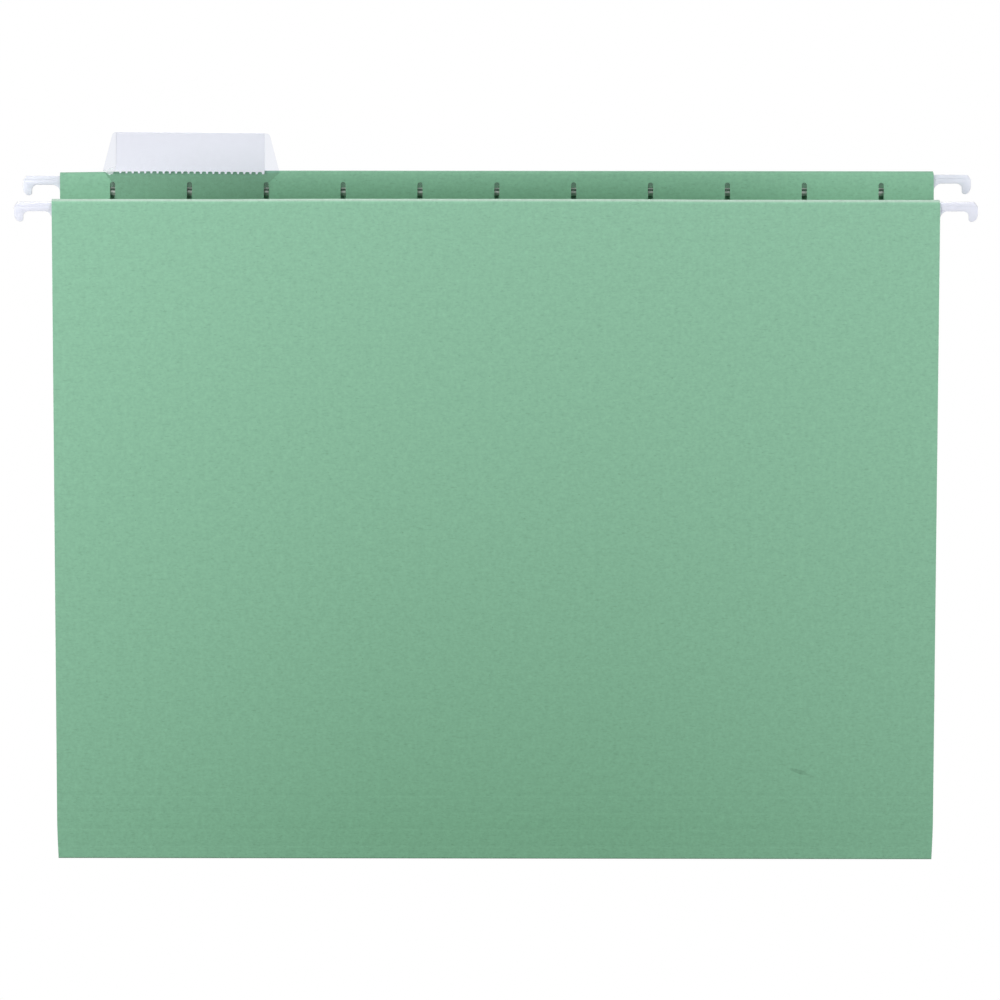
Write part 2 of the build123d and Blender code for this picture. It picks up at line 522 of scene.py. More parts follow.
@dataclass(frozen=True)
class InsertBond(PlainFinish):
    """White bond paper, die cut: matt, with a faint cloudy formation.

    It is whiter towards its foot, which evens out the shade that the front panel gives it.
    """

    name: str = "insert_bond_paper"
    colour: str = "ECEBF3"
    roughness: float = 0.85
    grain: float = 1.6 * MM
    detail: float = 3.0
    tones: Pair = (0.95, 1.02)
    bump: Pair = (0.15, 0.02 * MM)
    foot: float = 0.0
    height: float = 12.7 * MM
    foot_to_top: Pair = (1.08, 0.965)

    def tone(self, look: Look, pattern: Socket) -> Socket:
        """Turns the pattern and the height above the foot to a share of the colour.

        Args:
            look: the material in the making.
            pattern: the paper's clouds.

        Returns:
            The share.
        """
        level = look.add("SeparateXYZ", {0: look.place()}, output="Z")
        even = look.spread(level, self.foot_to_top, (self.foot, self.foot + self.height))
        return look.math("MULTIPLY", look.spread(pattern, self.tones), even)


@dataclass(frozen=True)
class HotMeltGlue(PlainFinish):
    """Hot-melt glue pressed flat: cream, waxy, uneven where it was squeezed out."""

    name: str = "hot_melt_glue"
    colour: str = "E3DFC8"
    roughness: float = 0.45
    grain: float = 3.0 * MM
    detail: float = 2.0
    tones: Pair = (0.85, 1.05)
    bump: Pair = (0.3, 0.1 * MM)
    index: float = 1.48


@dataclass(frozen=True)
class ClearVinyl:
    """Clear calendered PVC film: glossy, with a cool tint and a faint ripple in what it mirrors.

    Each face lets most light straight through, so that what lies behind stays sharp and lit. The
    back leaf has the stronger tint, which shows where nothing but film is seen.
    """

    name: str = "clear_vinyl"
    tint: str = "FCFCFD"
    roughness: float = 0.12
    index: float = 1.53
    specular: float = 0.15
    ripple: float = 9.0 * MM
    bump: Pair = (0.1, 0.1 * MM)

    def material(self) -> Material:
        """Makes the film's material.

        Returns:
            The material: a black gloss added to tinted clear film.
        """
        gloss = {"Roughness": self.roughness, "IOR": self.index, "Specular_IOR_Level": self.specular}
        look = Look(self.name, Base_Color=(0, 0, 0, 1), **gloss)
        look.bump(look.noise(look.place(), self.ripple, 1.0), *self.bump)
        through = look.add("BsdfTransparent", {"Color": linear(self.tint)})
        both = look.add("AddShader", {0: through, 1: look.shader.outputs[0]})
        look.tree.links.new(both, look.output.inputs["Surface"])
        return look.material


@dataclass(frozen=True)
class FolderFrame:
    """Where the two halves stand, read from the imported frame.

    A half has its own coordinates: x along the rods, v up the panel from the crease's axis, and n
    outwards from the pocket.
    """

    crease_height: float
    lean: float
    half_width: float
    lowest: float
    highest: float
    paper: float = 0.28 * MM
    fold_radius: float = 1.09 * MM

    @classmethod
    def from_pack(cls) -> "FolderFrame":
        """Reads the hinge, the tab's slide and the card's nodes.

        Returns:
            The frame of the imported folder.
        """
        joints = {joint["name"]: joint for joint in frame["joints"]}
        along = joints["tab_lift"]["axis"]
        hinge = joints["front_panel_swing"]["pos_m"]
        lean = math.atan2(along[1], along[2])
        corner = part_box("rear_panel")[1]
        return cls(hinge[2], lean, corner.x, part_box("bottom_crease")[0].z, corner.z)

    @property
    def bottom_radius(self) -> float:
        """The radius of the crease at the middle of the card's thickness."""
        return self.crease_height - self.lowest - self.paper / 2

    @property
    def sleeve_middle(self) -> float:
        """The depth of the rod's middle plane."""
        return self.bottom_radius - self.fold_radius

    @property
    def flap_depth(self) -> float:
        """The depth of the flap's middle plane."""
        return self.bottom_radius - 2 * self.fold_radius

    @property
    def fold_centre(self) -> float:
        """How far up the panel the top fold's centre is."""
        rise = self.highest - self.fold_radius - self.paper / 2 - self.crease_height
        return (rise + self.sleeve_middle * math.sin(self.lean)) / math.cos(self.lean)

    @property
    def crest(self) -> float:
        """How far up the panel the top of the fold is."""
        return self.fold_centre + self.fold_radius + self.paper / 2

    @property
    def crease_run(self) -> float:
        """The distance along the sheet from the middle of the crease to the start of the panel."""
        return self.bottom_radius * (math.pi / 2 - self.lean)

    @property
    def fold_run(self) -> float:
        """The distance along the sheet from the middle of the crease to the top of the fold."""
        return self.crease_run + self.fold_centre + self.fold_radius * math.pi / 2

    def place(self, half: Half, x: float, v: float, n: float) -> Vector:
        """Turns a half's own coordinates to the shared frame.

        Args:
            half: which half.
            x: distance along the rods.
            v: distance up the panel.
            n: distance outwards.

        Returns:
            The point in the shared frame.
        """
        y = v * math.sin(self.lean) + n * math.cos(self.lean)
        z = self.crease_height + v * math.cos(self.lean) - n * math.sin(self.lean)
        return Vector((x, half.value * y, z))

    def sleeve(self, half: Half, end: int = 1, lift: float = 0.0) -> Place:
        """Gives a function that places points of what is in a sleeve, with n from the rod's middle plane."""
        return lambda x, v, n: self.place(half, end * x, v + lift, self.sleeve_middle + n)

    def turn(self, half: Half) -> Triple:
        """The rotation that lays a flat XY outline on a half's panel, with Y up the panel."""
        return (math.pi / 2 - half.value * self.lean, 0.0, 0.0)


class Outline:
    """A line of points: open, as a section (n, v), or closed, as an outline on a panel's face (x, v)."""

    def __init__(self, *points: Pair) -> None:
        """Starts the line with its first points."""
        self.points: list[Pair] = list(points)

    def add(self, *points: Pair) -> None:
        """Adds points."""
        self.points.extend(points)

    def run_to(self, end: Pair, count: int, eased: bool = False) -> None:
        """Adds a straight run, or a soft S-bend that starts and ends along the panel.

        Args:
            end: where it ends.
            count: how many chords it gets.
            eased: whether it bends.
        """
        start = self.points[-1]
        for number in range(1, count + 1):
            rise = number / count
            out = rise * rise * (3 - 2 * rise) if eased else rise
            self.add((start[0] + (end[0] - start[0]) * out, start[1] + (end[1] - start[1]) * rise))

    def line_to(self, end: Pair, step: float) -> None:
        """Adds a straight run whose points are no more than a step apart."""
        self.run_to(end, max(1, math.ceil(math.dist(self.points[-1], end) / step)))

    def arc(
        self,
        centre: Pair,
        radius: float,
        first: float,
        last: float,
        count: int = 8,
        tall: float = 0.0,
        skip: int = 0,
    ) -> None:
        """Adds an arc of a circle or an upright ellipse.

        Args:
            centre: the arc's centre.
            radius: the arc's radius.
            first: the angle where it starts, in degrees.
            last: the angle where it ends.
            count: how many chords it gets.
            tall: the ellipse's radius upwards, or zero for a circle.
            skip: how many of its first points are left out.
        """
        for number in range(skip, count + 1):
            angle = math.radians(first + (last - first) * number / count)
            self.add((centre[0] + radius * math.cos(angle), centre[1] + (tall or radius) * math.sin(angle)))


def rectangle(left: float, right: float, low: float, high: float) -> list[Pair]:
    """Lists the corners of an upright rectangle."""
    return [(left, low), (right, low), (right, high), (left, high)]


def new_piece(name: str, mesh: bpy.types.Mesh) -> Piece:
    """Puts a mesh in the scene as an object at the origin.

    Args:
        name: the object's name.
        mesh: its mesh.

    Returns:
        The object.
    """
    piece = bpy.data.objects.new(name, mesh)
    bpy.context.scene.collection.objects.link(piece)
    return piece


def face_outwards(build: bmesh.types.BMesh, mesh: bpy.types.Mesh) -> bpy.types.Mesh:
    """Turns a shape's faces outwards and writes it to a mesh.

    Args:
        build: the shape, which is used up.
        mesh: where it goes.

    Returns:
        The mesh.
    """
    bmesh.ops.recalc_face_normals(build, faces=build.faces)
    build.to_mesh(mesh)
    build.free()
    return mesh


def plate(name: str, outline: list[Pair], low: float, high: float, place: Place) -> Piece:
    """Makes a closed flat plate.

    Args:
        name: the object's name.
        outline: the plate's corners (x, v).
        low: the depth of one face.
        high: the depth of the other face.
        place: turns x, v and depth to the shared frame.

    Returns:
        The plate.
    """
    build = bmesh.new()
    rings = []
    for depth in (low, high):
        rings.append([build.verts.new(place(x, v, depth)) for x, v in outline])
        build.faces.new(rings[-1])
    for number in range(len(outline)):
        after = (number + 1) % len(outline)
        build.faces.new((rings[0][number], rings[0][after], rings[1][after], rings[1][number]))
    return new_piece(name, face_outwards(build, bpy.data.meshes.new(name)))


def bake(piece: Piece) -> None:
    """Turns a piece with modifiers into a plain mesh.

    Args:
        piece: the piece, which keeps its name.
    """
    bpy.context.view_layer.update()
    graph = bpy.context.evaluated_depsgraph_get()
    mesh = bpy.data.meshes.new_from_object(piece.evaluated_get(graph))
    mesh.name = piece.name
    piece.modifiers.clear()
    piece.data = mesh


def join(piece: Piece, other: Piece, operation: str) -> None:
    """Adds a solid to a piece, or cuts it away, and removes the other solid.

    Args:
        piece: the piece that is kept.
        other: the solid that is used up.
        operation: UNION or DIFFERENCE.
    """
    tool = piece.modifiers.new("join", "BOOLEAN")
    tool.operation = operation
    tool.solver = "EXACT"
    tool.object = other
    bake(piece)
    bpy.data.objects.remove(other)


def round_edges(piece: Piece, width: float, material: int = -1) -> None:
    """Rounds a piece's sharp edges.

    Args:
        piece: the piece.
        width: the width of the rounding.
        material: the number of the rounding's material, or -1 for its neighbour's.
    """
    bevel = piece.modifiers.new("rounding", "BEVEL")
    bevel.width = width
    bevel.segments = ROUNDING_FACES
    bevel.material = material
    bevel.limit_method = "ANGLE"
    bevel.angle_limit = math.radians(SHARP_TURN)
    bake(piece)


def shade(piece: Piece, *materials: Material, angle: float = SHARP_TURN) -> None:
    """Gives a piece its materials, and smooth shading across edges that turn less than an angle.

    Args:
        piece: the piece, whose faces already name their material by number.
        materials: the materials in that order.
        angle: the sharpest turn that is shaded smooth, in degrees.
    """
    mesh = piece.data
    numbers = [face.material_index for face in mesh.polygons]
    mesh.materials.clear()
    for material in materials:
        mesh.materials.append(material)
    last = len(materials) - 1
    mesh.polygons.foreach_set("material_index", [min(number, last) for number in numbers])
    mesh.shade_smooth()
    mesh.set_sharp_from_angle(angle=math.radians(angle))


class NodeShape:
    """A geometry tree with named inputs, which is run on a piece and baked."""

    def __init__(self, name: str, values: dict) -> None:
        """Makes the tree with its inputs.

        Args:
            name: the tree's name.
            values: each input's value, by name. Its kind follows from the value.
        """
        kinds = {int: "NodeSocketInt", float: "NodeSocketFloat", Material: "NodeSocketMaterial"}
        self.values = values
        self.tree = bpy.data.node_groups.new(name, "GeometryNodeTree")
        sides = self.tree.interface
        for way in ("INPUT", "OUTPUT"):
            sides.new_socket("Geometry", in_out=way, socket_type="NodeSocketGeometry")
        for label, value in values.items():
            sides.new_socket(label, in_out="INPUT", socket_type=kinds.get(type(value), "NodeSocketVector"))
        self.inputs = add_node(self.tree, "NodeGroupInput").outputs

    def add(self, kind: str, inputs: dict | None = None, **settings) -> Socket:
        """Adds a node and gives its first output."""
        return add_node(self.tree, kind, inputs, **settings).outputs[0]

    def times(self, value: float | Socket, factor: float | Socket) -> Socket:
        """Multiplies two numbers or sockets."""
        return self.add("ShaderNodeMath", {0: value, 1: factor}, operation="MULTIPLY")

    def move(self, shape: Socket, shift: Socket, turn: Socket | Triple = (0, 0, 0)) -> Socket:
        """Turns and shifts a shape."""
        inputs = {"Geometry": shape, "Translation": shift, "Rotation": turn}
        return self.add("GeometryNodeTransform", inputs)

    def prism(self, width: object, height: object, depth: object, rounding: object) -> Socket:
        """Adds a closed upright prism with a rounded rectangular outline.

        Args:
            width: its size along X, as a number or a socket.
            height: its size along Y.
            depth: its size along Z, half of it each side of the XY plane.
            rounding: the radius of its corners.

        Returns:
            The prism's geometry.
        """
        kind = "GeometryNodeCurvePrimitiveQuadrilateral"
        box = self.add(kind, {"Width": width, "Height": height}, mode="RECTANGLE")
        corners = {"Curve": box, "Count": CORNER_CHORDS, "Radius": rounding, "Limit Radius": True}
        rounded = self.add("GeometryNodeFilletCurve", corners, mode="POLY")
        face = self.add("GeometryNodeFillCurve", {"Curve": rounded}, mode="NGONS")
        far = self.add("GeometryNodeExtrudeMesh", {"Mesh": face, "Offset Scale": depth}, mode="FACES")
        near = self.add("GeometryNodeFlipFaces", {"Mesh": face})
        closed = self.add("GeometryNodeJoinGeometry", {"Geometry": [far, near]})
        merged = self.add("GeometryNodeMergeByDistance", {"Geometry": closed, "Distance": WELD_DISTANCE})
        return self.move(merged, self.add("ShaderNodeCombineXYZ", {"Z": self.times(depth, -0.5)}))

    def row(self, shape: Socket, count: Socket, pitch: Socket) -> Socket:
        """Repeats a shape along X, centred on the origin.

        Args:
            shape: the geometry to repeat.
            count: how many.
            pitch: the distance from one to the next.

        Returns:
            The instances.
        """
        gaps = self.add("ShaderNodeMath", {0: count, 1: -1.0})
        first = self.add("ShaderNodeCombineXYZ", {"X": self.times(self.times(gaps, pitch), -0.5)})
        step = self.add("ShaderNodeCombineXYZ", {"X": pitch})
        line = self.add("GeometryNodeMeshLine", {"Count": count, "Start Location": first, "Offset": step})
        return self.add("GeometryNodeInstanceOnPoints", {"Points": line, "Instance": shape})

    def cut(self, solid: Socket, cutters: list[Socket]) -> Socket:
        """Cuts instances away from a solid.

        Args:
            solid: what is cut.
            cutters: the instances.

        Returns:
            What is left.
        """
        loose = self.add("GeometryNodeJoinGeometry", {"Geometry": cutters})
        real = self.add("GeometryNodeRealizeInstances", {"Geometry": loose})
        inputs = {"Mesh 1": solid, "Mesh 2": real}
        return self.add("GeometryNodeMeshBoolean", inputs, operation="DIFFERENCE", solver="MANIFOLD")

    def run(self, shape: Socket, piece: Piece) -> None:
        """Ends the tree with real geometry in its material, and keeps what it makes as a piece's mesh.

        Args:
            shape: the geometry that the tree makes.
            piece: the piece.
        """
        real = self.add("GeometryNodeRealizeInstances", {"Geometry": shape})
        dressed = {"Geometry": real, "Material": self.inputs["Material"]}
        add_node(self.tree, "NodeGroupOutput", {"Geometry": self.add("GeometryNodeSetMaterial", dressed)})
        tool = piece.modifiers.new(self.tree.name, "NODES")
        tool.node_group = self.tree
        for item in self.tree.interface.items_tree:
            if item.in_out == "INPUT" and item.name in self.values:
                tool[item.identifier] = self.values[item.name]
        bake(piece)


@dataclass
class CardBody:
    """The folder's one card sheet: two panels, the scored crease, and the two sleeves with their slots."""

    stand: FolderFrame
    material: Material
    columns: int = 48
    crease_corner: float = 0.5 * MM
    crease_lift: float = 0.32 * MM
    corner_chords: int = 8
    fold_chords: int = 16
    bend_chords: int = 12
    score_start: float = 6.85 * MM
    score_pitch: float = 6.05 * MM
    score_count: int = 4
    score_below: float = 0.75 * MM
    score_above: float = 1.6 * MM
    score_depth: float = 0.03 * MM
    score_step: float = 0.2 * MM
    panel_step: float = 5.0 * MM
    scored_height: float = 22.5 * MM
    flap_straight: float = 17.3 * MM
    flap_bend: float = 8.5 * MM
    flap_glued: float = 9.2 * MM
    glued_gap: float = 0.4 * MM
    slot_count: int = 11
    slot_margin: float = 17.975 * MM
    slot_width: float = 1.75 * MM
    slot_height: float = 12.5 * MM
    slot_drop: float = 3.9 * MM
    slot_cut: float = 1.0 * MM
    slot_round: float = 0.4999
    bow: float = 0.3 * MM
    rear_phase: float = 0.6
    taper: float = 0.5 * MM
    taper_reach: float = 16.0 * MM
    taper_curve: float = 1.5
    left_spare: float = 0.78 * MM
    rear_droop: float = 0.72 * MM
    droop_start: float = -60.0 * MM
    front_crown: float = 0.19 * MM
    crown_middle: float = -8.0 * MM
    crown_reach: float = 80.0 * MM
    corner_ease: float = 0.4 * MM
    corner_reach: float = 2.5 * MM
    crease_reach: float = 4.0 * MM
    smooth_turn: float = 30.0
    crease_rows: int = 0
    rows: list = field(default_factory=list)

    @property
    def slot_pitch(self) -> float:
        """The distance from one slot to the next."""
        return 2 * (self.stand.half_width - self.slot_margin) / (self.slot_count - 1)

    @property
    def flat_length(self) -> float:
        """The sheet's length before it was folded."""
        return self.rows[-1][0] - self.rows[0][0]

    def half_line(self) -> list[Pair]:
        """Draws the rear half's section from the middle of the crease to the flap's end.

        Returns:
            The points (n, v).
        """
        stand = self.stand
        radius = stand.bottom_radius
        lowest = stand.lean - math.pi / 2
        down = Vector((math.cos(lowest), math.sin(lowest)))
        level = radius - self.crease_lift
        corner = (radius * math.sin(stand.lean) - level) / math.cos(stand.lean)
        spot = Vector((radius - self.crease_corner, corner - self.crease_corner * math.tan(lowest / 2)))
        line = Outline(tuple(down * level))
        line.line_to(tuple(spot + down * self.crease_corner), self.crease_corner)
        line.arc(tuple(spot), self.crease_corner, math.degrees(lowest), 0, self.corner_chords, skip=1)
        line.line_to((radius, 0.0), self.score_step)
        self.crease_rows = len(line.points)
        line.line_to((radius, self.scored_height), self.score_step)
        line.line_to((radius, stand.fold_centre), self.panel_step)
        middle = (stand.sleeve_middle, stand.fold_centre)
        line.arc(middle, stand.fold_radius, 0, 180, self.fold_chords, skip=1)
        bend_top = stand.crest - self.flap_straight
        bend_low = bend_top - self.flap_bend
        glued = radius - self.glued_gap
        line.line_to((stand.flap_depth, bend_top), self.panel_step)
        line.run_to((glued, bend_low), self.bend_chords, eased=True)
        line.line_to((glued, bend_low - self.flap_glued), self.panel_step)
        return line.points

    def measure(self) -> None:
        """Lists the sheet's rows from the front flap to the rear one.

        Each row has its distance along the sheet, its place (y, z) and the direction outwards.
        """
        half = [self.stand.place(Half.REAR, 0, v, n) for n, v in self.half_line()]
        runs = [0.0]
        for before, after in zip(half, half[1:]):
            runs.append(runs[-1] + (after - before).length)
        plain = self.stand.crease_run
        share = plain / runs[self.crease_rows - 1]
        spare = runs[self.crease_rows - 1] - plain
        runs = [run * share if run - spare < plain else run - spare for run in runs]
        distances = [-run for run in runs[:0:-1]] + runs
        line = [Vector((-point.y, point.z)) for point in half[:0:-1]]
        line += [Vector((point.y, point.z)) for point in half]
        self.rows = []
        for number, point in enumerate(line):
            along = line[min(number + 1, len(line) - 1)] - line[max(number - 1, 0)]
            self.rows.append((distances[number], point, Vector((along.y, -along.x)).normalized()))

    def relief(self, x: float, run: float) -> float:
        """How far the card stands out from its plain section at a place.

        Args:
            x: distance along the rods.
            run: distance along the sheet from the middle of the crease.

        Returns:
            The distance outwards, for the scored lines and the panel's slight bow.
        """
        away = abs(run)
        out = 0.0
        number = round((away - self.score_start) / self.score_pitch)
        if 0 <= number < self.score_count:
            off = away - self.score_start - number * self.score_pitch
            off = max(off / self.score_above, -off / self.score_below)
            if off < 1:
                out -= self.score_depth * math.cos(off * math.pi / 2) ** 2
        low = self.scored_height + 2 * self.score_pitch
        high = self.stand.crest - self.flap_straight - self.flap_bend - self.flap_glued
        if low < away < high:
            rise = math.sin(math.pi * (away - low) / (high - low)) ** 2
            phase = self.rear_phase if run > 0 else 0.0
            wave = math.cos(math.pi * x / self.stand.half_width + phase)
            out += self.bow * rise * (0.5 + 0.5 * wave)
        return out

    def drift(self, share: float, run: float) -> Pair:
        """Where a column of the sheet has come to at a place.

        The sheet narrows at the crease, its left edge runs a little out there, and its right corners
        are eased at the folds. The rear fold droops at its left end, and the front one is slightly
        crowned.

        Args:
            share: the column's place from the left edge, -1, to the right edge, 1.
            run: distance along the sheet from the middle of the crease.

        Returns:
            The distance along the rods, and how far up the card has settled.
        """
        stand = self.stand
        width = stand.half_width - self.taper * max(0.0, 1 - abs(run) / self.taper_reach) ** self.taper_curve
        if share < 0:
            width += self.left_spare * max(0.0, 1 - abs(run) / stand.fold_run)
        else:
            width -= self.corner_ease * max(0.0, 1 - abs(abs(run) - stand.fold_run) / self.corner_reach) ** 2
        x = share * width
        height = min(1.0, abs(run) / stand.fold_run)
        if run > 0:
            past = max(0.0, (self.droop_start - x) / (self.droop_start + stand.half_width))
            return x, -self.rear_droop * height * past**2
        off = min(1.0, abs(x - self.crown_middle) / self.crown_reach)
        return x, self.front_crown * height * (1 - off**4)

    def mesh(self) -> bpy.types.Mesh:
        """Makes the closed sheet.

        Returns:
            The mesh, with the sheet's own coordinates in its UV map.
        """
        self.measure()
        across = [2 * number / self.columns - 1 for number in range(self.columns + 1)]
        points, places = [], []
        for side in (1, -1):
            for run, point, outwards in self.rows:
                for share in across:
                    x, rise = self.drift(share, run)
                    spot = point + outwards * (self.relief(x, run) + side * self.stand.paper / 2)
                    points.append((x, spot.x, spot.y + rise))
                    places.append((x, run))
        count, depth = len(across), len(self.rows)
        half = count * depth
        faces = []
        for row in range(depth - 1):
            for column in range(count - 1):
                a = row * count + column
                outer = (a, a + 1, a + 1 + count, a + count)
                faces += [outer, tuple(half + corner for corner in reversed(outer))]
        rims = [(row * count + column, count) for row in range(depth - 1) for column in (0, count - 1)]
        rims += [(row * count + column, 1) for column in range(count - 1) for row in (0, depth - 1)]
        faces += [(a, a + step, half + a + step, half + a) for a, step in rims]
        mesh = bpy.data.meshes.new("card_body")
        mesh.from_pydata(points, [], faces)
        layer = mesh.uv_layers.new(name=SHEET_UV)
        flat = [value for loop in mesh.loops for value in places[loop.vertex_index]]
        layer.data.foreach_set("uv", flat)
        build = bmesh.new()
        build.from_mesh(mesh)
        return face_outwards(build, mesh)

    def punch(self, piece: Piece) -> None:
        """Punches the rows of slots through both flaps.

        Args:
            piece: the card body.
        """
        values = {
            "Slot Count": self.slot_count,
            "Slot Pitch": self.slot_pitch,
            "Slot Width": self.slot_width,
            "Slot Height": self.slot_height,
            "Cut Depth": self.slot_cut,
            "Material": self.material,
        }
        middle = self.stand.crest - self.slot_drop - self.slot_height / 2
        for half in Half:
            values[f"{half.name} Place"] = self.stand.place(half, 0, middle, self.stand.flap_depth)
            values[f"{half.name} Turn"] = self.stand.turn(half)
        shape = NodeShape("punched_slots", values)
        inputs = shape.inputs
        radius = shape.times(inputs["Slot Width"], self.slot_round)
        slot = shape.prism(inputs["Slot Width"], inputs["Slot Height"], inputs["Cut Depth"], radius)
        row = shape.row(slot, inputs["Slot Count"], inputs["Slot Pitch"])
        rows = [shape.move(row, inputs[f"{half.name} Place"], inputs[f"{half.name} Turn"]) for half in Half]
        shape.run(shape.cut(inputs["Geometry"], rows), piece)

    def build(self) -> Piece:
        """Makes the card body.

        Returns:
            The finished piece.
        """
        piece = new_piece("card_body", self.mesh())
        self.punch(piece)
        shade(piece, self.material, angle=self.smooth_turn)
        Half.REAR.body
        Half.FRONT.body
        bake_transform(piece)
        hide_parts("rear_panel", "front_panel", "bottom_crease")
        return piece


@dataclass
class Rods:
    """The two flat steel rods, each with a rolled groove near its lower edge and a tongue at each end."""

    stand: FolderFrame
    material: Material
    rubbed: Material
    thickness: float = 0.8 * MM
    height: float = 7.4 * MM
    fold_gap: float = 0.8 * MM
    face_tilt: float = 0.26 * MM
    end_inset: float = 12.0 * MM
    groove_rise: float = 1.95 * MM
    groove_width: float = 0.78 * MM
    groove_depth: float = 0.38 * MM
    lip: float = 0.05 * MM
    high_lip: float = 0.3 * MM
    low_lip: float = 0.6 * MM
    foot: float = 0.2 * MM
    tongue_length: float = 8.8 * MM
    tongue_height: float = 3.2 * MM
    tongue_thickness: float = 0.4 * MM
    tongue_drop: float = 4.825 * MM
    smooth_turn: float = 12.0

    @property
    def top(self) -> float:
        """How far up the panel the rod's upper edge is."""
        return self.stand.crest - self.stand.paper - self.fold_gap

    def groove(self) -> Triple:
        """How far up the panel the groove's upper edge, bottom and lower edge are."""
        deep = self.top - self.height + self.groove_rise
        return deep + self.groove_width / 2, deep, deep - self.groove_width / 2

    def section(self) -> list[Pair]:
        """Draws the rod's section, with the groove on the flap's side.

        Returns:
            The points (n, v), with n from the sleeve's middle.
        """
        half = self.thickness / 2
        high, deep, under = self.groove()
        line = Outline()
        line.arc((-self.face_tilt, self.top - half), half, 0, 180)
        line.add((-half, high + self.high_lip), (-half - self.lip, high), (self.groove_depth - half, deep))
        line.add((-half, under), (-half - self.lip, under - self.low_lip))
        line.arc((half - self.foot, self.top - self.height + self.foot), self.foot, 180, 360)
        return line.points

    def rub(self, piece: Piece, half: Half) -> None:
        """Marks the groove's lips and the lower edge for the rougher steel, whose lighter colour paints
        highlight lines.

        Args:
            piece: the rod.
            half: the half of the folder that it is in.
        """
        start = self.stand.place(half, 0, 0, 0)
        up = self.stand.place(half, 0, 1, 0) - start
        high, _, under = self.groove()
        for face in piece.data.polygons:
            level = (face.center - start).dot(up)
            upper = high < level < high + self.high_lip
            # Lips and lower edge: a rougher finish, with a lighter colour that paints highlight lines on
            # them.
            face.material_index = int(upper or level < under)

    def rod(self, half: Half) -> Piece:
        """Makes one rod.

        Args:
            half: the half of the folder that it is in.

        Returns:
            The finished rod.
        """
        node = f"{half.label}_rod"
        reach = self.stand.half_width - self.end_inset
        place = self.stand.sleeve(half)
        piece = plate(f"{node}_strip", self.section(), -reach, reach, lambda n, v, x: place(x, v, n))
        level = self.stand.crest - self.tongue_drop
        far, tall, side = reach + self.tongue_length, self.tongue_height / 2, self.tongue_thickness / 2
        tongue = plate("tongue", rectangle(-far, far, level - tall, level + tall), -side, side, place)
        join(piece, tongue, "UNION")
        self.rub(piece, half)
        shade(piece, self.material, self.rubbed, angle=self.smooth_turn)
        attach(piece, half.body)
        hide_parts(node)
        return piece

    def build(self) -> list[Piece]:
        """Makes both rods."""
        return [self.rod(half) for half in Half]


